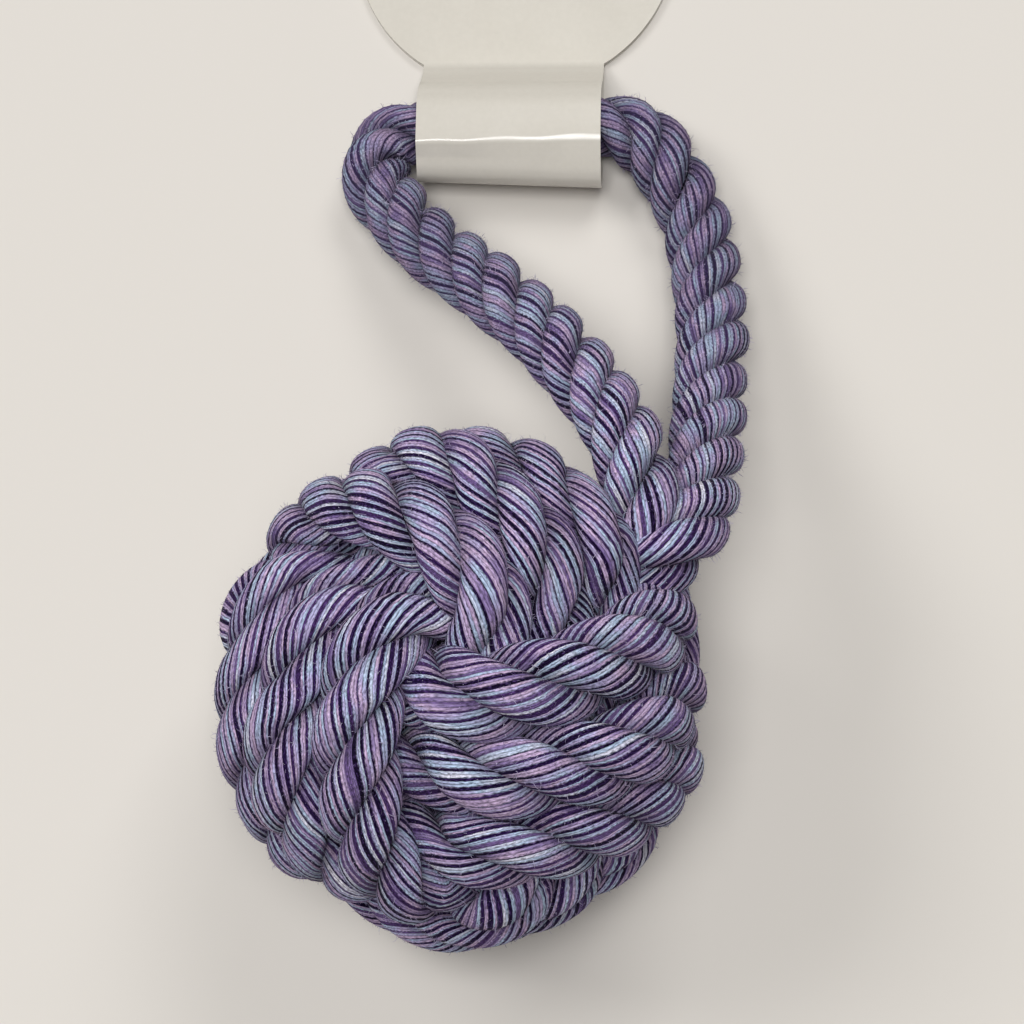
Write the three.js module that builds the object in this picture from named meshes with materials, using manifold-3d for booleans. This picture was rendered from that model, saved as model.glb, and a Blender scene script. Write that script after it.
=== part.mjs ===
// Rope dog toy: a monkey's fist of thick cotton rope, wound over a rubber ball, with a rope loop for a handle
// and a folded card round the end of the loop. Millimetres, +Z up. The toy lies on the floor: the ball stands on
// one of its corners, where three turns meet, and the handle leans from the ball down to the floor behind it.
import * as THREE from 'three';
import { mergeVertices } from 'three/addons/utils/BufferGeometryUtils.js';
import Module from 'manifold-3d';

// Driving dimensions of the rope and the ball
const HANDLE_DIAMETER = 15.4; // the 16 mm rope where it is free
const TURN_WIDE = 14.6; // the same rope hauled flat in the ball: across a turn
const TURN_THIN = 10; // and through it, towards the ball's middle
const TURNS = 3; // turns in each of the three sets
const TURN_STEP = 17.4; // from a turn to the next one in its set
const LAYER_STEP = 12.3; // from a run of rope to the run that crosses over it
const CROWN = 9; // how far the middle of a face of the ball swells out
const CROWN_UNDER = 6; // and the layer under it
const END_STRAIGHT = 8; // straight rope at the tucked end of a set
const REST_CUT = 1.6; // depth of the flats that the ball stands on
const BALL_FOOT = new THREE.Vector2(-3.71, -86.66); // the point of the floor under the ball's middle
const BALL_TURN = THREE.MathUtils.degToRad(-26.1); // heading of the first set's outer face
const CORE_RADIUS = 29; // fills the hollow that the turns leave

// Worked out from them: how far a run that passes under the next set is from the ball's middle
const UNDER = TURN_STEP + LAYER_STEP;

// The handle's route from the ball and back, above the floor, measured from the point under the ball's middle
const HANDLE_ROUTE = [
  [35.6, 45.2, 64.2], [34.2, 50.4, 62], [28.9, 60.6, 56], [22.2, 71.4, 49], [12.9, 83.6, 40], [1.5, 95.9, 30],
  [-10.5, 107.6, 20.5], [-19, 118.1, 13.5], [-24.2, 126, 10], [-25.2, 132.8, 8.8], [-22, 137.8, 8.8],
  [-17, 140, 8.8], [-12, 140.7, 8.8], [5.4, 141, 8.8], [22, 141.4, 8.8], [28.3, 141.2, 8.8],
  [35.7, 138.2, 8.8], [42, 130.2, 8.8], [47.3, 119, 9.5], [50.3, 105, 13], [51.7, 88.4, 20], [51.4, 71.4, 30],
  [50.8, 55.4, 42], [50, 42.3, 53], [49.4, 38.5, 56.4],
];
const NECK_LENGTH = 24; // rope that flexes between the ball and the loop
const MEETING_GAP = 0.3;

// The card: two round leaves joined by a sleeve that goes round the end of the loop
const CARD = {
  middle: 5.4, // across the handle
  thickness: 0.6,
  sleeveWidth: 42,
  leafRadius: 37.5,
  leafMiddle: 190.5,
  leafGap: 0.6,
  overlap: 12, // how far the sleeve's flat ends run into the leaves
  ropeY: 141,
  ropeZ: 8.8,
  foldMiddle: 137,
  foldReach: 8.5, // how far the fold stands out past its middle
  wrapRadius: 9.3,
};

const wasm = await Module();
wasm.setup();

/** A closed geometry as a solid for a join or a cut. */
function solidOf(geometry) {
  const plain = geometry.clone();
  plain.deleteAttribute('normal');
  plain.deleteAttribute('uv');
  const merged = mergeVertices(plain, 1e-4);
  const vertProperties = new Float32Array(merged.attributes.position.array);
  const triVerts = new Uint32Array(merged.index.array);
  return new wasm.Manifold(new wasm.Mesh({ numProp: 3, vertProperties, triVerts }));
}

/** A joined or cut solid as a geometry again. */
function geometryOf(solid) {
  const { vertProperties, triVerts } = solid.getMesh();
  const geometry = new THREE.BufferGeometry();
  geometry.setAttribute('position', new THREE.BufferAttribute(vertProperties, 3));
  geometry.setIndex(new THREE.BufferAttribute(triVerts, 1));
  geometry.computeVertexNormals();
  return geometry;
}

/** A named piece with a finish of its own. */
function piece(name, geometry, color, roughness) {
  const mesh = new THREE.Mesh(geometry, new THREE.MeshStandardMaterial({ color, roughness, metalness: 0 }));
  mesh.name = name;
  return mesh;
}

/**
 * Points along one set of turns, in axes of its own: over the ball's faces on x, under the next set on z, and
 * stacked along y. A turn is a rectangle with round corners, each a quarter round about the crossing rope. The
 * set steps to its next turn while it is hidden, and both its ends are tucked in under the next set.
 */
function turnPoints() {
  const arcSteps = 4;
  const runSteps = 4;
  const corners = [[1, -1], [1, 1], [-1, 1], [-1, -1]];
  const points = [];
  const rowOf = (turn) => TURN_STEP * ((TURNS - 1) / 2 - turn);
  points.push(new THREE.Vector3(UNDER - END_STRAIGHT, rowOf(0), -UNDER));
  for (let turn = 0; turn < TURNS; turn++) {
    const row = rowOf(turn);
    corners.forEach(([sideX, sideZ], corner) => {
      for (let i = 0; i <= arcSteps; i++) {
        const angle = (corner - 1 + i / arcSteps) * Math.PI / 2;
        const x = sideX * UNDER + LAYER_STEP * Math.cos(angle);
        const z = sideZ * TURN_STEP + LAYER_STEP * Math.sin(angle);
        points.push(new THREE.Vector3(x, row, z));
      }
      const lastCorner = corner === corners.length - 1;
      if (lastCorner && turn === TURNS - 1) return;
      const start = points.at(-1);
      const end = lastCorner
        ? new THREE.Vector3(UNDER, rowOf(turn + 1), -UNDER)
        : start.clone().multiply(new THREE.Vector3(corner === 1 ? -1 : 1, 1, corner === 1 ? 1 : -1));
      for (let i = 1; i < runSteps; i++) {
        const point = start.clone().lerp(end, i / runSteps);
        point.y = THREE.MathUtils.lerp(start.y, end.y, THREE.MathUtils.smoothstep(i / runSteps, 0, 1));
        points.push(point);
      }
    });
  }
  points.push(new THREE.Vector3(END_STRAIGHT - UNDER, rowOf(TURNS - 1), -UNDER));
  const fade = (distance) => Math.cos(Math.min(1, Math.abs(distance) / UNDER) * Math.PI / 2) ** 2;
  for (const point of points) {
    const { x, y, z } = point;
    if (Math.abs(x) > UNDER) point.x += Math.sign(x) * CROWN * fade(y) * fade(z);
    if (Math.abs(x) < UNDER) point.z += Math.sign(z) * CROWN_UNDER * fade(x) * fade(y) ** 2;
  }
  return points;
}

/** A closed flat tube along points round the ball's middle, with its thin side turned to the middle. */
function flatTube(points, wide, thin, sides) {
  const positions = [];
  const index = [];
  points.forEach((point, i) => {
    const ahead = points[Math.min(i + 1, points.length - 1)];
    const behind = points[Math.max(i - 1, 0)];
    const tangent = ahead.clone().sub(behind).normalize();
    const out = point.clone().addScaledVector(tangent, -point.dot(tangent)).normalize();
    const across = tangent.clone().cross(out);
    for (let side = 0; side < sides; side++) {
      const angle = (side / sides) * 2 * Math.PI;
      const vertex = point.clone()
        .addScaledVector(out, Math.cos(angle) * thin / 2)
        .addScaledVector(across, Math.sin(angle) * wide / 2);
      positions.push(...vertex.toArray());
    }
  });
  const rings = points.length;
  for (let ring = 0; ring + 1 < rings; ring++) {
    for (let side = 0; side < sides; side++) {
      const a = ring * sides + side;
      const b = ring * sides + ((side + 1) % sides);
      index.push(a, b, b + sides, a, b + sides, a + sides);
    }
  }
  positions.push(...points[0].toArray(), ...points.at(-1).toArray());
  for (let side = 0; side < sides; side++) {
    const next = (side + 1) % sides;
    const last = (rings - 1) * sides;
    index.push(rings * sides, next, side);
    index.push(rings * sides + 1, last + side, last + next);
  }
  const geometry = new THREE.BufferGeometry();
  geometry.setAttribute('position', new THREE.Float32BufferAttribute(positions, 3));
  geometry.setIndex(index);
  return geometry;
}

/** The least distance between points of a tube's surface whose rings are at least so many rings apart. */
function leastGap(geometry, sides, ringsApart) {
  const surface = geometry.attributes.position;
  const rings = Math.floor(surface.count / sides);
  const first = new THREE.Vector3();
  const second = new THREE.Vector3();
  let least = Infinity;
  for (let i = 0; i < rings * sides; i++) {
    first.fromBufferAttribute(surface, i);
    for (let j = i + ringsApart * sides; j < rings * sides; j++) {
      least = Math.min(least, first.distanceTo(second.fromBufferAttribute(surface, j)));
    }
  }
  return least;
}

// Ball: three equal sets of turns about the upright diagonal, a third of a turn apart, each diving under the
// next one
const diagonal = Math.acos(1 / Math.sqrt(3));
const axes = [0, 1, 2].map((i) => {
  const heading = BALL_TURN + (i * 2 * Math.PI) / 3;
  return new THREE.Vector3().setFromSphericalCoords(1, diagonal, heading + Math.PI / 2);
}).map((v) => new THREE.Vector3(v.x, -v.z, v.y));
const stand = new THREE.Matrix4().makeBasis(axes[0], axes[1], axes[2]);
const turns = turnPoints().map((point) => point.applyMatrix4(stand));
const turnSides = 8;
const wound = flatTube(turns, TURN_WIDE, TURN_THIN, turnSides);
const halfTurn = Math.round(turns.length / TURNS / 2);
console.log(`least gap of a set of turns to itself: ${leastGap(wound, turnSides, halfTurn).toFixed(2)} mm`);

wound.computeBoundingBox();
const ballHeight = -wound.boundingBox.min.z - REST_CUT;
const floorSize = 400;
const underFloor = new THREE.BoxGeometry(floorSize, floorSize, floorSize);
underFloor.translate(0, 0, -floorSize / 2 - ballHeight);
const setGeometry = geometryOf(solidOf(wound).subtract(solidOf(underFloor)));
console.log(`ball's middle above the floor: ${ballHeight.toFixed(2)} mm`);

const ball = new THREE.Group();
ball.position.set(BALL_FOOT.x, BALL_FOOT.y, ballHeight);
['first_turns', 'second_turns', 'third_turns'].forEach((name, i) => {
  const set = piece(name, setGeometry, [0x6b5684, 0x66517e, 0x705b89][i], 0.95);
  set.rotation.z = (i * 2 * Math.PI) / 3;
  ball.add(set);
});
ball.add(piece('core_ball', new THREE.SphereGeometry(CORE_RADIUS, 24, 16), 0x3a3a3c, 0.9));

// Handle: one length of rope out of the ball and back into it, with a neck that flexes at each end
const routePoints = HANDLE_ROUTE.map(([x, y, z]) => new THREE.Vector3(x, y, z));
const route = new THREE.CatmullRomCurve3(routePoints, false, 'centripetal');
route.arcLengthDivisions = 800;
const routeLength = route.getLength();
console.log(`handle rope between the ball's sides: ${routeLength.toFixed(0)} mm`);

/** The rope between two distances along the handle's route. */
function ropeStretch(from, to, steps) {
  const samples = [];
  for (let i = 0; i <= steps; i++) {
    samples.push(route.getPointAt(THREE.MathUtils.lerp(from, to, i / steps) / routeLength));
  }
  const sides = 10;
  const corners = [];
  for (let side = 0; side < sides; side++) {
    const angle = (side / sides) * 2 * Math.PI;
    corners.push(new THREE.Vector2(Math.cos(angle), Math.sin(angle)).multiplyScalar(HANDLE_DIAMETER / 2));
  }
  const extrudePath = new THREE.CatmullRomCurve3(samples);
  return new THREE.ExtrudeGeometry(new THREE.Shape(corners), { steps, extrudePath });
}

const handle = new THREE.Group();
handle.position.set(BALL_FOOT.x, BALL_FOOT.y, 0);
const loopStart = NECK_LENGTH + MEETING_GAP;
const loopEnd = routeLength - NECK_LENGTH - MEETING_GAP;
handle.add(piece('left_neck', ropeStretch(0, NECK_LENGTH, 4), 0x6a5583, 0.95));
handle.add(piece('handle_loop', ropeStretch(loopStart, loopEnd, 42), 0x6a5583, 0.95));
handle.add(piece('right_neck', ropeStretch(routeLength - NECK_LENGTH, routeLength, 4), 0x6a5583, 0.95));

/** The middle line of the card's sleeve, seen from its side: floor, fold, over the rope, and down again. */
function sleeveLine() {
  const { thickness, leafRadius, leafMiddle, leafGap, sleeveWidth, overlap } = CARD;
  const { ropeY, ropeZ, foldMiddle, foldReach, wrapRadius } = CARD;
  const chord = leafMiddle - Math.sqrt(leafRadius ** 2 - (sleeveWidth / 2) ** 2);
  const low = thickness / 2;
  const high = low + thickness + leafGap;
  const top = ropeZ + wrapRadius;
  const line = [new THREE.Vector2(chord + overlap, low)];
  const foldSteps = 12;
  for (let i = 0; i <= foldSteps; i++) {
    const angle = (i / foldSteps) * Math.PI;
    const y = foldMiddle - foldReach * Math.sin(angle);
    line.push(new THREE.Vector2(y, (low + top) / 2 - ((top - low) / 2) * Math.cos(angle)));
  }
  const slope = Math.atan2(high - ropeZ, chord - ropeY);
  const away = slope + Math.acos(wrapRadius / Math.hypot(chord - ropeY, high - ropeZ));
  const wrapSteps = 4;
  for (let i = 0; i <= wrapSteps; i++) {
    const angle = THREE.MathUtils.lerp(Math.PI / 2, away, i / wrapSteps);
    line.push(new THREE.Vector2(ropeY + wrapRadius * Math.cos(angle), ropeZ + wrapRadius * Math.sin(angle)));
  }
  line.push(new THREE.Vector2(chord, high), new THREE.Vector2(chord + overlap, high));
  return line;
}

/** A strip of even thickness along a line, as an outline. */
function stripOutline(line, thickness) {
  const left = [];
  const right = [];
  line.forEach((point, i) => {
    const before = line[Math.max(i - 1, 0)];
    const after = line[Math.min(i + 1, line.length - 1)];
    const inDir = point.clone().sub(before).normalize();
    const outDir = after.clone().sub(point).normalize();
    const bend = inDir.lengthSq() && outDir.lengthSq() ? Math.sqrt((1 + inDir.dot(outDir)) / 2) : 1;
    const along = inDir.add(outDir).normalize();
    const offset = new THREE.Vector2(-along.y, along.x).multiplyScalar(thickness / 2 / bend);
    left.push(point.clone().add(offset));
    right.push(point.clone().sub(offset));
  });
  return new THREE.Shape([...left, ...right.reverse()]);
}

/** The card folded in two: a leaf on the floor, the sleeve round the rope, and a leaf over the first. */
function headerCard() {
  const { middle, thickness, sleeveWidth, leafRadius, leafMiddle, leafGap } = CARD;
  const sleeve = new THREE.ExtrudeGeometry(stripOutline(sleeveLine(), thickness), {
    depth: sleeveWidth, bevelEnabled: false,
  });
  sleeve.applyMatrix4(new THREE.Matrix4().makeBasis(
    new THREE.Vector3(0, 1, 0), new THREE.Vector3(0, 0, 1), new THREE.Vector3(1, 0, 0)));
  sleeve.translate(middle - sleeveWidth / 2, 0, 0);
  const mouth = Math.asin(sleeveWidth / 2 / leafRadius);
  const outline = new THREE.Shape();
  outline.absarc(middle, leafMiddle, leafRadius, mouth - Math.PI / 2, 1.5 * Math.PI - mouth);
  const leafForm = { depth: thickness, bevelEnabled: false, curveSegments: 40 };
  const leaf = new THREE.ExtrudeGeometry(outline, leafForm);
  const upper = leaf.clone().translate(0, 0, thickness + leafGap);
  return geometryOf(solidOf(sleeve).add(solidOf(leaf)).add(solidOf(upper)));
}
handle.add(piece('header_card', headerCard(), 0xd3d2d4, 0.45));

const toy = new THREE.Group();
toy.add(ball, handle);
export default toy;
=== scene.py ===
import math

import bpy
import numpy as np
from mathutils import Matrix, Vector


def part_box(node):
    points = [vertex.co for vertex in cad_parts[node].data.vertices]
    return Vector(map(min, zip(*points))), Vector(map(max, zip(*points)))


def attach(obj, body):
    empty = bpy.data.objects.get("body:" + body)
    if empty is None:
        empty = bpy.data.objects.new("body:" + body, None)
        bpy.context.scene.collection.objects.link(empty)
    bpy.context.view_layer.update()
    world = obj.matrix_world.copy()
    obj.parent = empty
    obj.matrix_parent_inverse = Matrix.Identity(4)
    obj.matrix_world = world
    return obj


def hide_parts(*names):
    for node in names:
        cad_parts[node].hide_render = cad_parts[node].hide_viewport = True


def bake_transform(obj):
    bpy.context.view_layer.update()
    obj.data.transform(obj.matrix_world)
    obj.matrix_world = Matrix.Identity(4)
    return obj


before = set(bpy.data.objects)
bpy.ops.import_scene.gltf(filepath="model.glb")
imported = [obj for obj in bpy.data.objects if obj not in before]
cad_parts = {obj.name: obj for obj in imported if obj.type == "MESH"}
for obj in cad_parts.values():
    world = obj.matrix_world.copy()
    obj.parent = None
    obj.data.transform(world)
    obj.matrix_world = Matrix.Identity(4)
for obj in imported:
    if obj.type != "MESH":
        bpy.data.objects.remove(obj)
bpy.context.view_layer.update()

# Core ball. The real piece is a moulded rubber ball that the rope is wound over.
# It could only be glimpsed between the turns, so its own solid is shown, in dull dark rubber.
MM = 0.001
DUST_PER_M = 0.3 / MM


def srgb(code):
    """A colour written as six hex digits, as linear red, green, blue and alpha."""
    channels = [int(code[i:i + 2], 16) / 255 for i in (0, 2, 4)]
    return [c / 12.92 if c <= 0.04045 else ((c + 0.055) / 1.055) ** 2.4 for c in channels] + [1.0]


def material(name):
    """A new material with no nodes, and its node tree."""
    made = bpy.data.materials.new(name)
    made.use_nodes = True
    made.node_tree.nodes.clear()
    return made, made.node_tree


def add(tree, kind, inputs=None, output=0, stops=(), **settings):
    """Adds a node with its settings and gives one of its outputs.

    Each input, by name or place, is a value or another node's output. Stops are a ramp's places and colours.
    """
    node = tree.nodes.new("ShaderNode" + kind)
    for name, value in settings.items():
        setattr(node, name, value)
    for key, value in (inputs or {}).items():
        if isinstance(value, bpy.types.NodeSocket):
            tree.links.new(value, node.inputs[key])
        else:
            node.inputs[key].default_value = value
    if stops:
        for _ in stops[2:]:
            node.color_ramp.elements.new(0.5)
        for element, (at, code) in zip(node.color_ramp.elements, stops):
            element.position = at
            element.color = srgb(code)
    return node.outputs[output] if node.outputs else node


# moulded rubber: matt and nearly black, a little paler in patches of dust about 3 mm across
rubber, tree = material("core_rubber")
on_core = add(tree, "TexCoord", output="Object")
dust = add(tree, "TexNoise", {"Vector": on_core, "Scale": DUST_PER_M, "Detail": 3.0})
tone = add(tree, "Mix", {0: dust, 6: srgb("191322"), 7: srgb("2d243a")}, output=2, data_type="RGBA")
shader = add(tree, "BsdfPrincipled", {"Base Color": tone, "Roughness": 0.8})
add(tree, "OutputMaterial", {"Surface": shader})
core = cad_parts["core_ball"]
core.data.materials.clear()
core.data.materials.append(rubber)

# Ball turns. The real piece is three-strand cotton rope, laid from mottled purple, mauve and pale blue yarns.
# It is wound by hand as a monkey's fist: three turns one way, three across them and three through those, then
# hauled tight. Each set here is the rope's outside along its own winding line.
TURNS = 3
TURN_STEP = 17.4 * MM
LAYER_STEP = 12.3 * MM
UNDER = TURN_STEP + LAYER_STEP
END_STRAIGHT = 8 * MM
# how far the faces swell, outside and under the next set, and beyond what distance the corners are drawn in
CROWN = 9 * MM
CROWN_UNDER = 6 * MM
CORNER_REACH = 47 * MM
CORNER_PULL = 0.65
CORNER_POINTS = 25
# how the ball is turned on the floor, and how much smaller it is hauled along x, y and z
BALL_TURN = math.radians(-26.1)
HAULED = np.array([0.967, 0.994, 0.98])
BALL_ROPE = (18.6 * MM, 13.2 * MM)
BALL_PITCH = 46 * MM
BALL_FIBRES = 31000
BALL_SEED = 11
RING_STEP = 1.3 * MM

ball_middle = np.mean(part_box("core_ball"), axis=0)


def even_line(points, step):
    """The same line through points an equal distance apart, as near to step as its length allows."""
    lengths = np.linalg.norm(np.diff(points, axis=0), axis=1)
    along = np.concatenate([[0], np.cumsum(lengths)])
    wanted = np.linspace(0, along[-1], int(round(along[-1] / step)) + 1)
    return np.stack([np.interp(wanted, along, points[:, axis]) for axis in range(3)], axis=1)


def winding_line():
    """The line of one set of turns, over the ball's faces on x, under the next set on z, stacked along y.

    A turn is a rectangle with round corners, each corner a quarter round about the rope that it crosses. The
    set steps to its next turn while it is under the next set, by a smooth step, and both ends are tucked in
    there. The faces swell by two bells, a squared cosine along each side: one for the outer runs and one for
    those under them. The corners that stand out furthest are drawn in.
    """
    corners = ((1, -1), (1, 1), (-1, 1), (-1, -1))
    mirrors = ((1, 1, -1), (-1, 1, 1), (1, 1, -1))
    share = np.linspace(0, 1, CORNER_POINTS)
    pieces = []
    for turn in range(TURNS):
        row = TURN_STEP * ((TURNS - 1) / 2 - turn)
        for corner, (side_x, side_z) in enumerate(corners):
            angle = (corner - 1 + share) * math.pi / 2
            x = side_x * UNDER + LAYER_STEP * np.cos(angle)
            z = side_z * TURN_STEP + LAYER_STEP * np.sin(angle)
            pieces.append(np.stack([x, np.full_like(x, row), z], axis=1))
            if corner < len(mirrors):
                start = pieces[-1][-1]
                end = start * mirrors[corner]
                pieces.append((start + np.outer(share, end - start))[1:-1])
            elif turn < TURNS - 1:
                x = -UNDER + 2 * UNDER * share
                y = row - TURN_STEP * share * share * (3 - 2 * share)
                pieces.append(np.stack([x, y, np.full_like(x, -UNDER)], axis=1)[1:-1])
    top_row = TURN_STEP * (TURNS - 1) / 2
    first = [[UNDER - END_STRAIGHT, top_row, -UNDER]]
    final = [[END_STRAIGHT - UNDER, -top_row, -UNDER]]
    line = np.concatenate([first, *pieces, final])
    fade = np.cos(np.minimum(1, np.abs(line) / UNDER) * math.pi / 2) ** 2
    x, z = line[:, 0].copy(), line[:, 2].copy()
    line[:, 0] += (np.abs(x) > UNDER) * np.sign(x) * CROWN * fade[:, 1] * fade[:, 2]
    line[:, 2] += (np.abs(x) < UNDER) * np.sign(z) * CROWN_UNDER * fade[:, 0] * fade[:, 1] ** 2
    reach = np.linalg.norm(line, axis=1)
    at_corner = np.clip((np.abs(z) - TURN_STEP / 2) / (TURN_STEP / 2), 0, 1)
    pulled = CORNER_PULL * at_corner * np.maximum(reach - CORNER_REACH, 0)
    return line * (1 - pulled / reach)[:, None]


FIRST_ACROSS = np.array([0.31, 0.34, 0.89])


def frames(line):
    """Unit vectors along a line and two across it, turned as little as possible from each point to the next.

    The first one across is the one before it, less its part along the line, and the second is square to both.
    """
    tangent = np.gradient(line, axis=0)
    tangent /= np.linalg.norm(tangent, axis=1)[:, None]
    normal = np.empty_like(line)
    current = FIRST_ACROSS
    for i, direction in enumerate(tangent):
        current = current - direction * (current @ direction)
        current /= np.linalg.norm(current)
        normal[i] = current
    return tangent, normal, np.cross(tangent, normal)


# a strand's section, in shares of the rope's diameter, and how far round it is made, in radians
STRANDS = 3
STRAND_OFFSET = 0.25
STRAND_DEEP = 0.25
STRAND_WIDE = 0.305
STRAND_ROUND = 2.05
STRAND_COLUMNS = 29
GIRTH_POINTS = 721
# hand-laid rope is uneven: the lay drifts by an angle and the strands swell by a share, each over a length
LAY_DRIFT, LAY_DRIFT_OVER = 0.12, 31 * MM
SHORT_SWELL, SHORT_SWELL_OVER = 0.025, 6.5 * MM
LONG_SWELL, LONG_SWELL_OVER = 0.02, 17.1 * MM
# how much more the yarns lean than the strands' lay asks, and how far apart the strands' patterns start
YARN_LEAN = 0.18
YARN_SHIFT, STRAND_SHIFTS = 0.37, 7


def rope_surface(line, size, pitch, seed):
    """The outside of a right-hand laid rope along an even line: points, outward directions and uv.

    The size is how wide the rope is and how thick, where the thickness faces the ball's middle. The pitch is
    the length of one turn of the strands. These may change along the line.

    In a section across the rope a strand is an ellipse, set off from the rope's middle and turned once per
    pitch. Only its outer part is made, far enough for neighbours to meet in the groove. The first uv
    coordinate is the distance across the yarns and the second the distance along them: the yarns wind round
    the strand the other way, so that they lie nearly along the rope where the strand is outermost.
    """
    rng = np.random.default_rng(seed)
    tangent, normal, across = frames(line)
    step = np.linalg.norm(line[1] - line[0])
    distance = step * np.arange(len(line))
    laid = np.cumsum(step / np.broadcast_to(pitch, len(line)))
    pitch = np.mean(pitch)
    width, thickness = (np.broadcast_to(value, len(line))[:, None, None] for value in size)
    diameter = math.sqrt(np.mean(width) * np.mean(thickness))
    inward = ball_middle - line
    inward -= tangent * (inward * tangent).sum(1)[:, None]
    inward = (inward / np.linalg.norm(inward, axis=1)[:, None])[:, None]
    offset = STRAND_OFFSET * diameter
    deep = STRAND_DEEP * diameter
    wide = STRAND_WIDE * diameter
    angle = np.linspace(-STRAND_ROUND, STRAND_ROUND, STRAND_COLUMNS)
    slope = math.atan(2 * math.pi * offset / pitch)
    twist = math.atan((math.pi * diameter / pitch + YARN_LEAN) * math.cos(slope) ** 2)
    fine = np.linspace(-STRAND_ROUND, STRAND_ROUND, GIRTH_POINTS)
    speed = np.hypot(deep * np.sin(fine), wide * math.cos(slope) * np.cos(fine))
    girth = np.concatenate([[0], np.cumsum((speed[1:] + speed[:-1]) / 2 * np.diff(fine))])
    girth = np.interp(angle, fine, girth - girth[-1] / 2)
    along = distance / math.cos(slope)
    points, outward, uv = [], [], []
    for strand in range(STRANDS):
        # the fourth draw is spare
        drift, short, long, _ = rng.uniform(0, 2 * math.pi, 4)
        turn = 2 * math.pi * (laid + strand / STRANDS) + LAY_DRIFT * np.sin(distance / LAY_DRIFT_OVER + drift)
        swell = 1 + SHORT_SWELL * np.sin(distance / SHORT_SWELL_OVER + short)
        swell = swell + LONG_SWELL * np.sin(distance / LONG_SWELL_OVER + long)
        out = (np.cos(turn)[:, None] * normal + np.sin(turn)[:, None] * across)[:, None]
        side = (-np.sin(turn)[:, None] * normal + np.cos(turn)[:, None] * across)[:, None]
        rise = (deep * np.cos(angle))[None, :] * swell[:, None]
        reach = (wide * np.sin(angle))[None, :] * swell[:, None]
        ring = (offset + rise)[..., None] * out + reach[..., None] * side
        through = (ring * inward).sum(2)[..., None] * inward
        points.append(line[:, None] + (thickness * through + width * (ring - through)) / diameter)
        facing = (np.cos(angle) / deep)[None, :, None] * out + (np.sin(angle) / wide)[None, :, None] * side
        outward.append(facing / np.linalg.norm(facing, axis=2)[..., None])
        shift = (STRAND_SHIFTS * strand + seed) * YARN_SHIFT
        u = girth[None, :] * math.cos(twist) + along[:, None] * math.sin(twist) + shift
        v = along[:, None] * math.cos(twist) - girth[None, :] * math.sin(twist)
        uv.append(np.stack([u, v], axis=2))
    return np.array(points), np.array(outward), np.array(uv)


def grid_faces(grids, rows, columns):
    """Corner numbers of the faces between neighbours in so many grids of rows by columns."""
    row_start = (np.arange(grids)[:, None, None] * rows + np.arange(rows - 1)[:, None]) * columns
    start = row_start + np.arange(columns - 1)
    return np.stack([start, start + 1, start + columns + 1, start + columns], axis=-1).reshape(-1, 4)


# a fibre's length in mm, its width, drawn about four times a real one's so that it shows, and how far up and
# how far over its middle and its tip are, in shares of the length
FIBRE_LEAST, FIBRE_MEAN, FIBRE_MOST = 0.25, 0.6, 2.4
FIBRE_HALF_WIDTH = 0.04 * MM
MIDDLE_UP, MIDDLE_OVER = 0.42, 0.3
TIP_UP, TIP_OVER = 0.55, 0.8


def fibre_surface(points, outward, count, seed):
    """Stray cotton fibres: thin ribbons that leave the rope at random places and bend over towards the tip.

    A fibre has four corners, at its root and at its middle, which stands up more than it leans, and a point
    for its tip, which leans more than it stands up.
    """
    rng = np.random.default_rng(seed)
    pick = rng.integers(0, len(points), count)
    base, up = points[pick], outward[pick]
    lean = rng.normal(size=(count, 3))
    lean -= up * (lean * up).sum(1)[:, None]
    lean /= np.linalg.norm(lean, axis=1)[:, None]
    length = np.clip(rng.exponential(FIBRE_MEAN, count), FIBRE_LEAST, FIBRE_MOST)[:, None] * MM
    width = np.cross(up, lean) * FIBRE_HALF_WIDTH
    middle = base + length * (MIDDLE_UP * up + MIDDLE_OVER * lean)
    tip = base + length * (TIP_UP * up + TIP_OVER * lean)
    corners = np.stack([base - width, base + width, middle + width, middle - width, tip], axis=1)
    start = 5 * np.arange(count)[:, None]
    return corners.reshape(-1, 3), start + np.array([0, 1, 2, 3]), start + np.array([3, 2, 4])


# spun cotton: matt and hairy, with no gloss. A dark yarn lies beside two pale threads, over and over, each a
# little wider or narrower along its length. The pale dye drifts from purple through mauve to blue and white.
# Its hairs, so many per mm across and along the yarn, are drawn about ten times too coarse so that they show.
YARN_PAIR = 1.1 * MM
PALE_THREADS = 2.0
HAIRS_PER_M = (5.2 / MM, 0.9 / MM, 0.0)
HAIR_DEPTH = 0.16 * MM
WANDERS_PER_M = 0.06 / MM
DYES_PER_M = 0.07 / MM
BUNCHES_PER_M = 0.012 / MM

cotton, tree = material("mottled_cotton")
yarn = add(tree, "UVMap", uv_map="yarn")
across_yarn, along_yarn = add(tree, "SeparateXYZ", {0: yarn}).node.outputs[:2]
hair_place = add(tree, "VectorMath", {0: yarn, 1: HAIRS_PER_M}, operation="MULTIPLY")
hairs = add(tree, "TexNoise", {"Vector": hair_place, "Scale": 1.0, "Detail": 4.0}, noise_dimensions="2D")

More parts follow.
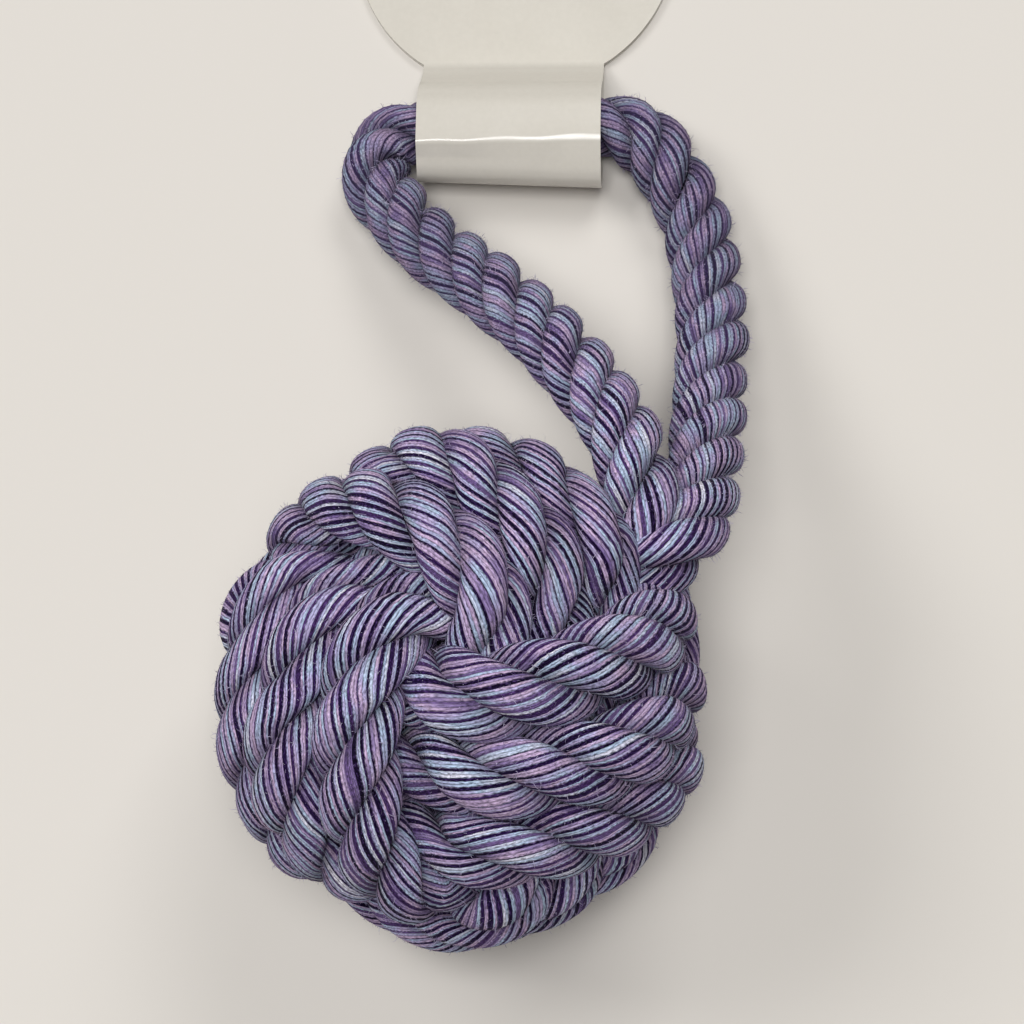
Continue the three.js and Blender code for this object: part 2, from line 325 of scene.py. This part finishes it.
# which pair of yarns this is, by its number, and the place across the pair, from 0 to 1
wander_inputs = {"Vector": yarn, "Scale": WANDERS_PER_M, "Detail": 0.0}
wander = add(tree, "TexNoise", wander_inputs, noise_dimensions="2D")
count = add(tree, "Math", {0: across_yarn, 1: YARN_PAIR}, operation="DIVIDE")
count = add(tree, "Math", {0: wander, 1: 0.5, 2: count}, operation="MULTIPLY_ADD")
count = add(tree, "Math", {0: hairs, 1: 0.22, 2: count}, operation="MULTIPLY_ADD")
number = add(tree, "Math", {0: count}, operation="FLOOR")
place = add(tree, "Math", {0: count}, operation="FRACT")
lot = add(tree, "TexWhiteNoise", {"W": number}, output="Color", noise_dimensions="1D")
width_lot, tint_lot, dark_lot = add(tree, "SeparateColor", {0: lot}).node.outputs

# how the dye drifts along a yarn, and where dark yarns bunch together
on_yarn = add(tree, "CombineXYZ", {0: number, 1: along_yarn})
dye_place = add(tree, "VectorMath", {0: on_yarn, 1: (3.7, DYES_PER_M, 0.0)}, operation="MULTIPLY")
drift = add(tree, "TexNoise", {"Vector": dye_place, "Scale": 1.0, "Detail": 1.0}, noise_dimensions="2D")
bunch_place = add(tree, "VectorMath", {0: on_yarn, 1: (0.33, BUNCHES_PER_M, 0.0)}, operation="MULTIPLY")
bunch = add(tree, "TexNoise", {"Vector": bunch_place, "Scale": 1.0, "Detail": 0.0}, noise_dimensions="2D")
bunch = add(tree, "MapRange", {0: bunch, 1: 0.3, 2: 0.7, 3: -0.16, 4: 0.16})

# the dark yarn's share of the pair, less under the painted shade that dims the handle, and the places in it
# and in the pale rest
painted_dim = add(tree, "Attribute", output="Fac", attribute_name="painted_dim")
dark_share = add(tree, "Math", {0: width_lot, 1: 0.26, 2: 0.15}, operation="MULTIPLY_ADD")
dark_share = add(tree, "Math", {0: drift, 1: 0.2, 2: dark_share}, operation="MULTIPLY_ADD")
dark_share = add(tree, "Math", {0: dark_share, 1: bunch}, operation="ADD")
dark_share = add(tree, "Math", {0: painted_dim, 1: -0.25, 2: dark_share}, operation="MULTIPLY_ADD")
past_dark = add(tree, "Math", {0: place, 1: dark_share}, operation="SUBTRACT")
in_dark = add(tree, "MapRange", {0: past_dark, 1: -0.08, 2: 0.08, 3: 1.0, 4: 0.0})
pale_share = add(tree, "Math", {0: 1.0, 1: dark_share}, operation="SUBTRACT")
in_pale = add(tree, "Math", {0: past_dark, 1: pale_share}, operation="DIVIDE")

# the pale threads, round from side to side, each with a tint of its own
thread_place = add(tree, "Math", {0: in_pale, 1: PALE_THREADS}, operation="MULTIPLY")
across_thread = add(tree, "Math", {0: thread_place}, operation="FRACT")
half_turn = add(tree, "Math", {0: across_thread, 1: math.pi}, operation="MULTIPLY")
threads = add(tree, "Math", {0: half_turn}, operation="SINE")
thread_number = add(tree, "Math", {0: thread_place}, operation="FLOOR")
thread_number = add(tree, "Math", {0: number, 1: 7.0, 2: thread_number}, operation="MULTIPLY_ADD")
thread_lot = add(tree, "TexWhiteNoise", {"W": thread_number}, noise_dimensions="1D")
tint = add(tree, "Math", {0: drift, 1: 0.9, 2: -0.3}, operation="MULTIPLY_ADD")
tint = add(tree, "Math", {0: tint_lot, 1: 0.3, 2: tint}, operation="MULTIPLY_ADD")
tint = add(tree, "Math", {0: thread_lot, 1: 0.4, 2: tint}, operation="MULTIPLY_ADD")
pale = add(tree, "ValToRGB", {0: tint}, stops=(
    (0.0, "69558a"), (0.2, "8e7ca9"), (0.38, "c1a9c9"), (0.52, "aba3cb"), (0.66, "a8bad4"), (0.82, "cacbe0"),
    (1.0, "e2dfec")))

# the dark yarn, with paler hairs in it, and both dyes together
dark = add(tree, "ValToRGB", {0: dark_lot}, stops=(
    (0.0, "120826"), (0.55, "200f3d"), (0.85, "452e5f"), (1.0, "715d8d")))
fleck = add(tree, "MapRange", {0: hairs, 1: 0.5, 2: 0.8, 3: 0.0, 4: 0.38})
dark = add(tree, "Mix", {0: fleck, 6: dark, 7: srgb("654b88")}, output=2, data_type="RGBA")
dyed = add(tree, "Mix", {0: in_dark, 6: pale, 7: dark}, output=2, data_type="RGBA")

# painted shade, darker at the edges of the round threads and down in the groove between strands, a grain
# darker between hairs, and painted shade, greyer and darker, where the rope is dimmed
thread_shade = add(tree, "MapRange", {0: threads, 1: 0.0, 2: 0.7, 3: 0.44, 4: 1.02})
hair_shade = add(tree, "MapRange", {0: hairs, 1: 0.25, 2: 0.75, 3: 0.4, 4: 1.5})
groove = add(tree, "Attribute", output="Fac", attribute_name="groove")
groove_shade = add(tree, "MapRange", {0: groove, 1: 0.3, 2: 0.9, 3: 1.0, 4: 0.5})
shade = add(tree, "Math", {0: thread_shade, 1: hair_shade}, operation="MULTIPLY")
shade = add(tree, "Math", {0: shade, 1: groove_shade}, operation="MULTIPLY")
colour = add(tree, "VectorMath", {0: dyed, 1: shade}, operation="MULTIPLY")
# painted shade: greyer and darker where the rope is dimmed
colour = add(tree, "Mix", {0: painted_dim, 6: colour, 7: srgb("3c364d")}, output=2, data_type="RGBA")
height = add(tree, "Math", {0: hairs, 1: 0.8, 2: threads}, operation="MULTIPLY_ADD")
bump = add(tree, "Bump", {"Height": height, "Distance": HAIR_DEPTH, "Strength": 0.6})
shader = add(tree, "BsdfPrincipled", {
    "Base Color": colour, "Roughness": 0.92, "Specular IOR Level": 0.05, "Sheen Weight": 0.03,
    "Sheen Roughness": 0.5, "Normal": bump})
add(tree, "OutputMaterial", {"Surface": shader})

# loose cotton fibre: matt, in tufts of paler and darker lilac about 2 mm across
TUFTS_PER_M = 0.5 / MM
stray_cotton, tree = material("stray_cotton")
on_fibre = add(tree, "TexCoord", output="Object")
tuft_inputs = {"Vector": on_fibre, "Scale": TUFTS_PER_M, "Detail": 0.0}
tuft = add(tree, "TexNoise", tuft_inputs, noise_dimensions="2D")
lilac = add(tree, "ValToRGB", {0: tuft}, stops=((0.35, "5a4e74"), (0.65, "b1a8c4")))
shader = add(tree, "BsdfPrincipled", {"Base Color": lilac, "Roughness": 1.0, "Specular IOR Level": 0.05})
add(tree, "OutputMaterial", {"Surface": shader})

ROPE_OVER_FLOOR = 0.15 * MM
FIBRE_OVER_FLOOR = 0.1 * MM
FIBRE_SEED = 50


def rope_object(name, line, size, pitch, fibres, seed, painted_dimming=0.0, bare=None):
    """A rope with its stray fibres as one object: the rope has the first material and the fibres the second.

    It may be told how much painted shade dims the yarns along the line, and a box in which no fibre starts.
    """
    points, outward, uv = rope_surface(line, size, pitch, seed)
    points[..., 2] = np.maximum(points[..., 2], ROPE_OVER_FLOOR)
    strands, rows, columns, _ = points.shape
    flat, outward = points.reshape(-1, 3), outward.reshape(-1, 3)
    faces = grid_faces(strands, rows, columns)
    free = np.full(len(flat), True)
    if bare is not None:
        free = ((flat < bare[0]) | (flat > bare[1])).any(axis=1)
    stray, quads, tips = fibre_surface(flat[free], outward[free], fibres, seed + FIBRE_SEED)
    stray[:, 2] = np.maximum(stray[:, 2], FIBRE_OVER_FLOOR)
    corners = np.concatenate([flat, stray])
    loops = np.concatenate([faces.ravel(), (quads + len(flat)).ravel(), (tips + len(flat)).ravel()])
    sizes = np.concatenate([np.full(len(faces) + len(quads), 4), np.full(len(tips), 3)])
    starts = np.concatenate([[0], np.cumsum(sizes)[:-1]])
    is_fibre = np.arange(len(sizes)) >= len(faces)
    mesh = bpy.data.meshes.new(name)
    mesh.vertices.add(len(corners))
    mesh.vertices.foreach_set("co", corners.astype(np.float32).ravel())
    mesh.loops.add(len(loops))
    mesh.loops.foreach_set("vertex_index", loops.astype(np.int32))
    mesh.polygons.add(len(sizes))
    mesh.polygons.foreach_set("loop_start", starts.astype(np.int32))
    mesh.polygons.foreach_set("material_index", is_fibre.astype(np.int32))
    # how far each point is from its strand's crest, for the painted shade in the groove between strands, and
    # how much painted shade dims the yarns
    blank = np.zeros((strands, rows, columns))
    from_crest = blank + np.abs(np.linspace(-1, 1, columns))
    dimming_grid = blank + np.broadcast_to(painted_dimming, rows)[:, None]
    for title, grid in (("groove", from_crest), ("painted_dim", dimming_grid)):
        values = np.concatenate([grid.ravel(), np.zeros(len(stray))]).astype(np.float32)
        mesh.attributes.new(title, "FLOAT", "POINT").data.foreach_set("value", values)
    layer = mesh.uv_layers.new(name="yarn")
    every = np.concatenate([uv.reshape(-1, 2), np.zeros((len(stray), 2))])
    layer.data.foreach_set("uv", every[loops].astype(np.float32).ravel())
    mesh.update(calc_edges=True)
    mesh.shade_smooth()
    mesh.materials.append(cotton)
    mesh.materials.append(stray_cotton)
    made = bpy.data.objects.new(name, mesh)
    bpy.context.scene.collection.objects.link(made)
    return made


# the ball stands on a corner: its three axes lean alike from the upright, and each set is a third turn on
diagonal = math.acos(1 / math.sqrt(3))
headings = BALL_TURN + np.arange(3) * 2 * math.pi / 3
ball_axes = np.stack([
    math.sin(diagonal) * np.cos(headings), math.sin(diagonal) * np.sin(headings),
    np.full(3, math.cos(diagonal))], axis=1)
set_line = winding_line() @ ball_axes
for index, name in enumerate(("first_turns", "second_turns", "third_turns")):
    turned = index * 2 * math.pi / 3
    spin = np.array([
        [math.cos(turned), math.sin(turned), 0], [-math.sin(turned), math.cos(turned), 0], [0, 0, 1]])
    line = even_line(set_line @ spin * HAULED + ball_middle, RING_STEP)
    wound = rope_object("rope_" + name, line, BALL_ROPE, BALL_PITCH, BALL_FIBRES, seed=BALL_SEED + index)
    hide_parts(name)
    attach(wound, "ball")

# Handle. The same cotton rope leaves the ball at one corner, goes out to a loop and comes back beside itself.
# It is laid harder here, with painted shade that makes the yarns greyer and darker away from the ball, and is
# a little thinner in the card's sleeve.
# Both ends are hauled into the ball, and nothing else holds them.
HANDLE_ROPE = 16.4 * MM
HANDLE_PITCH = MM * np.array([41, 39, 38, 31, 33, 42, 46])
HANDLE_FIBRES = 20000
HANDLE_SEED = 21
# how much painted shade dims the yarns, and between which distances from the rope's ends
HANDLE_PAINTED_DIM = 0.46
DIM_FROM, DIM_FULL = 40 * MM, 120 * MM
# the sleeve's place across, its half width and its box, in y and z
CARD_MIDDLE = 5.4 * MM
SLEEVE_HALF = 21 * MM
SLEEVE_LOW, SLEEVE_HIGH = (120 * MM, 0), (160 * MM, 20 * MM)
# how much thinner the rope is in the sleeve, how far past its mouth that ends, and where fibres start again
SLEEVE_SQUEEZE = 0.1
SQUEEZE_FULL, SQUEEZE_NONE = 1 * MM, 7 * MM
BARE_PAST_SLEEVE = 2 * MM
HANDLE_ROUTE = MM * np.array([
    [31.8, 19.4, 58], [36, 23.6, 65], [37.8, 31.5, 67.5], [36.8, 40.6, 66], [34.2, 50.4, 62],
    [28.9, 60.6, 56], [22.2, 71.4, 49], [12.9, 83.6, 40], [1.5, 95.9, 30], [-10.5, 107.6, 20.5],
    [-19, 118.1, 13.5], [-24.2, 126, 10], [-25.2, 132.8, 8.8], [-22, 137.8, 8.8], [-17, 140, 8.8],
    [-12, 140.7, 8.8], [5.4, 141, 8.8], [22, 141.4, 8.8], [28.3, 141.2, 8.8], [35.7, 138.2, 8.8],
    [42, 130.2, 8.8], [47.3, 119, 9.5], [50.3, 105, 13], [51.7, 88.4, 20], [51.4, 71.4, 30],
    [50.8, 55.4, 42], [50, 42.3, 53], [47.5, 31.7, 62], [42.3, 24.3, 67.5], [36.6, 21, 67], [31, 20.2, 60]])
ROUTE_SPAN_POINTS = 24

# the route and the card's places are measured from the point of the floor under the ball's middle
foot = np.array([ball_middle[0], ball_middle[1], 0])


def smooth_line(points, per_span):
    """A centripetal Catmull-Rom line through points, with mirrored points past both ends.

    The knots are spaced by the square root of the distance between points. In each span the four points about
    it are blended in neighbouring pairs, then those three blends, then those two.
    """
    through = np.array([2 * points[0] - points[1], *points, 2 * points[-1] - points[-2]])
    knots = np.concatenate([[0], np.cumsum(np.sqrt(np.linalg.norm(np.diff(through, axis=0), axis=1)))])
    spans = []
    for first in range(len(points) - 1):
        knot = knots[first:first + 4]
        at = np.linspace(knot[1], knot[2], per_span, endpoint=False)[:, None]
        level = through[first:first + 4]
        for pairs in (((0, 1), (1, 2), (2, 3)), ((0, 2), (1, 3)), ((1, 2),)):
            level = [
                (knot[b] - at) / (knot[b] - knot[a]) * start + (at - knot[a]) / (knot[b] - knot[a]) * end
                for (a, b), start, end in zip(pairs, level, level[1:])]
        spans.append(level[0])
    return np.concatenate([*spans, points[-1:]])


handle_line = even_line(smooth_line(HANDLE_ROUTE, ROUTE_SPAN_POINTS) + foot, RING_STEP)
along_handle = np.linspace(0, len(HANDLE_PITCH) - 1, len(handle_line))
handle_pitch = np.interp(along_handle, np.arange(len(HANDLE_PITCH)), HANDLE_PITCH)
rings = np.arange(len(handle_line))
from_ends = np.minimum(rings, rings[::-1]) * RING_STEP
# painted shade that dims the handle's yarns, growing with the distance from the rope's ends
painted_dimming = np.interp(from_ends, (DIM_FROM, DIM_FULL), (0, HANDLE_PAINTED_DIM))
from_sleeve = np.abs(handle_line[:, 0] - foot[0] - CARD_MIDDLE) - SLEEVE_HALF
squeeze = np.interp(from_sleeve, (SQUEEZE_FULL, SQUEEZE_NONE), (SLEEVE_SQUEEZE, 0))
squeeze = squeeze * (handle_line[:, 1] - foot[1] > SLEEVE_LOW[0])
handle_size = HANDLE_ROPE * (1 - squeeze)
bare_half = SLEEVE_HALF + BARE_PAST_SLEEVE
in_sleeve = foot + np.array([
    [CARD_MIDDLE - bare_half, *SLEEVE_LOW], [CARD_MIDDLE + bare_half, *SLEEVE_HIGH]])
handle = rope_object(
    "rope_handle", handle_line, (handle_size, handle_size), handle_pitch, HANDLE_FIBRES, seed=HANDLE_SEED,
    painted_dimming=painted_dimming, bare=in_sleeve)
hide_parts("left_neck", "handle_loop", "right_neck")
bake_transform(handle)

# Card. The real piece is one cut of coated paperboard, folded in two round the end of the loop. Its middle is
# a sleeve about the rope, with a crease over it, and its ends are round leaves, one on the other.
CARD_THICK = 0.6 * MM
CARD_COLUMNS = 33
LEAF_RADIUS = 37.5 * MM
LEAF_MIDDLE = 190.5 * MM
LEAF_RISE = 1.2 * MM
LEAF_POINTS = 60
# the sleeve sits askew, by so much at its right side for each y, and its crease is rippled from side to side
SLEEVE_SKEW_AT = MM * np.array([127, 131, 135, 146])
SLEEVE_SKEW = MM * np.array([-0.9, -0.5, 0.7, 0])
RIPPLE_AT = MM * np.array([131, 135, 139])
RIPPLE = 0.2 * MM
RIPPLE_LENGTH = 2.6 * MM
CREASE_OVER = 12 * MM
SHARP_EDGE = math.radians(50)
SLEEVE_LINE = MM * np.array([
    [150, 0.3], [142, 0.3], [135.2, 1.3], [129.8, 4.6], [127.2, 9.2], [127.3, 12], [128.5, 13.7],
    [131.2, 15.7], [133.5, 17.3], [134.2, 17.75], [135, 18.05], [136, 18.1], [140, 18], [144.3, 17.5],
    [148.3, 14.8], [152, 9.5], [156, 4.3], [158.2, 2.2]])
SLEEVE_SPAN_POINTS = 8


def card_line():
    """The card's middle line from the side, and its half width there: leaf, sleeve, leaf.

    The lower leaf lies on the floor. The sleeve is a smooth line through its points, with a crease where it
    turns over the rope, and a leaf's half width is that of a circle.
    """
    mouth = math.asin(SLEEVE_HALF / LEAF_RADIUS)
    arc = np.linspace(math.pi, mouth, LEAF_POINTS)
    leaf_y, leaf_half = LEAF_MIDDLE - LEAF_RADIUS * np.cos(arc), LEAF_RADIUS * np.sin(arc)
    lower = np.stack([leaf_y, np.full_like(leaf_y, CARD_THICK / 2), leaf_half], axis=1)
    sleeve = smooth_line(np.insert(SLEEVE_LINE, 2, SLEEVE_HALF, axis=1), SLEEVE_SPAN_POINTS)
    upper = lower[::-1] + np.array([0, LEAF_RISE, 0])
    return np.concatenate([lower, sleeve, upper])


# both faces of the card along its line, half its thickness to each side, and faces along its two long edges
profile = card_line()
across_card = np.linspace(-1, 1, CARD_COLUMNS)
heading = np.gradient(profile[:, :2], axis=0)
heading /= np.linalg.norm(heading, axis=1)[:, None]
sideways = np.stack([-heading[:, 1], heading[:, 0]], axis=1)
skew = np.interp(profile[:, 0], SLEEVE_SKEW_AT, SLEEVE_SKEW)[:, None]
ripple = (np.interp(profile[:, 0], RIPPLE_AT, (0, RIPPLE, 0)) * (profile[:, 1] > CREASE_OVER))[:, None]
layers = []
for side in (1, -1):
    edge = profile[:, :2] + side * CARD_THICK / 2 * sideways
    x = CARD_MIDDLE + profile[:, 2:] * across_card[None, :]
    y = edge[:, :1] + skew * across_card[None, :] + ripple * np.sin(x / RIPPLE_LENGTH)
    layers.append(np.stack([x, y, np.repeat(edge[:, 1:], CARD_COLUMNS, 1)], axis=2))
card_points = np.array(layers) + foot
card_points[..., 2] = np.maximum(card_points[..., 2], 0)
rows = len(profile)
layer_size = rows * CARD_COLUMNS
sheet = grid_faces(1, rows, CARD_COLUMNS)
left = np.arange(rows - 1) * CARD_COLUMNS
next_left = left + CARD_COLUMNS
left_edge = np.stack([left, next_left, next_left + layer_size, left + layer_size], axis=1)
right_edge = left_edge + CARD_COLUMNS - 1
faces = np.concatenate([sheet[:, ::-1], sheet + layer_size, left_edge[:, ::-1], right_edge])
mesh = bpy.data.meshes.new("card")
mesh.from_pydata(card_points.reshape(-1, 3).tolist(), [], faces.tolist())
mesh.update()
mesh.shade_smooth()
mesh.set_sharp_from_angle(angle=SHARP_EDGE)
card = bpy.data.objects.new("card", mesh)
bpy.context.scene.collection.objects.link(card)

# coated paperboard: smooth and a little glossy, not quite flat, with faint clouds of pulp under the coating
WAVES_PER_M = 1 / (14 * MM)
PULP_PER_M = 1 / (1.2 * MM)
WAVE_DEPTH = 0.5 * MM
board, tree = material("coated_board")
on_board = add(tree, "TexCoord", output="Object")
waves = add(tree, "TexNoise", {"Vector": on_board, "Scale": WAVES_PER_M, "Detail": 2.0})
pulp = add(tree, "TexNoise", {"Vector": on_board, "Scale": PULP_PER_M, "Detail": 4.0})
height = add(tree, "Math", {0: pulp, 1: 0.01, 2: waves}, operation="MULTIPLY_ADD")
bump = add(tree, "Bump", {"Height": height, "Distance": WAVE_DEPTH, "Strength": 0.5})
tone = add(tree, "ValToRGB", {0: pulp}, stops=((0.3, "c9c4ba"), (0.7, "ccc7bd")))
gloss = add(tree, "MapRange", {0: waves, 1: 0.3, 2: 0.7, 3: 0.16, 4: 0.26})
shader = add(tree, "BsdfPrincipled", {
    "Base Color": tone, "Roughness": gloss, "Specular IOR Level": 0.55, "Normal": bump})
add(tree, "OutputMaterial", {"Surface": shader})
mesh.materials.append(board)
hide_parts("header_card")
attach(card, "card")

# Stage. A plain pale floor under three soft lights: one from the left, one from behind, one over the camera.
# The camera looks steeply down on the toy from the ball's side.
FLOOR_HALF = 4.0
LIGHTS = (
    ("left", (-2.8, 1.06, 3.51), 78),
    ("behind", (1.2, 2.46, 3.71), 64),
    ("over_camera", (0, -0.94, 5.11), 165))
LIGHT_SIZE = 2
LIGHTS_AIM = Vector((0, -0.02, 0.03))
ROOM_LIGHT = 0.1
SENSOR = 36
VIEW_PIXELS = 1024
FOCAL_PIXELS = 3600
CAMERA_AT = MM * np.array([57.03, -160.84, 781.93])
CAMERA_TURN = (math.radians(15.22), math.radians(3.56), 0)
FARTHEST_SEEN = 20

mesh = bpy.data.meshes.new("floor")
ends = (-FLOOR_HALF, FLOOR_HALF)
mesh.from_pydata([(x, y, 0) for y in ends for x in ends], [], [(0, 1, 3, 2)])
floor = bpy.data.objects.new("floor", mesh)
bpy.context.scene.collection.objects.link(floor)
# matt paint: pale and warm, with only a weak, wide reflection
paint, tree = material("pale_floor")
shader = add(tree, "BsdfPrincipled", {
    "Base Color": srgb("d1ccc5"), "Roughness": 0.55, "Specular IOR Level": 0.3})
add(tree, "OutputMaterial", {"Surface": shader})
mesh.materials.append(paint)

scene = bpy.context.scene
room = bpy.data.worlds.new("room")
room.use_nodes = True
room.node_tree.nodes["Background"].inputs[0].default_value = srgb("f2efea")
room.node_tree.nodes["Background"].inputs[1].default_value = ROOM_LIGHT
scene.world = room

for name, at, power in LIGHTS:
    lamp = bpy.data.lights.new(name, "AREA")
    lamp.size = LIGHT_SIZE
    lamp.energy = power
    light = bpy.data.objects.new(name, lamp)
    light.location = at
    light.rotation_euler = (LIGHTS_AIM - Vector(at)).to_track_quat("-Z", "Y").to_euler()
    scene.collection.objects.link(light)

lens = bpy.data.cameras.new("camera")
lens.sensor_width = SENSOR
lens.lens = SENSOR * FOCAL_PIXELS / VIEW_PIXELS
lens.clip_end = FARTHEST_SEEN
camera = bpy.data.objects.new("camera", lens)
camera.location = foot + CAMERA_AT
camera.rotation_mode = "YXZ"
camera.rotation_euler = CAMERA_TURN
scene.collection.objects.link(camera)
scene.camera = camera
scene.view_settings.view_transform = "Standard"
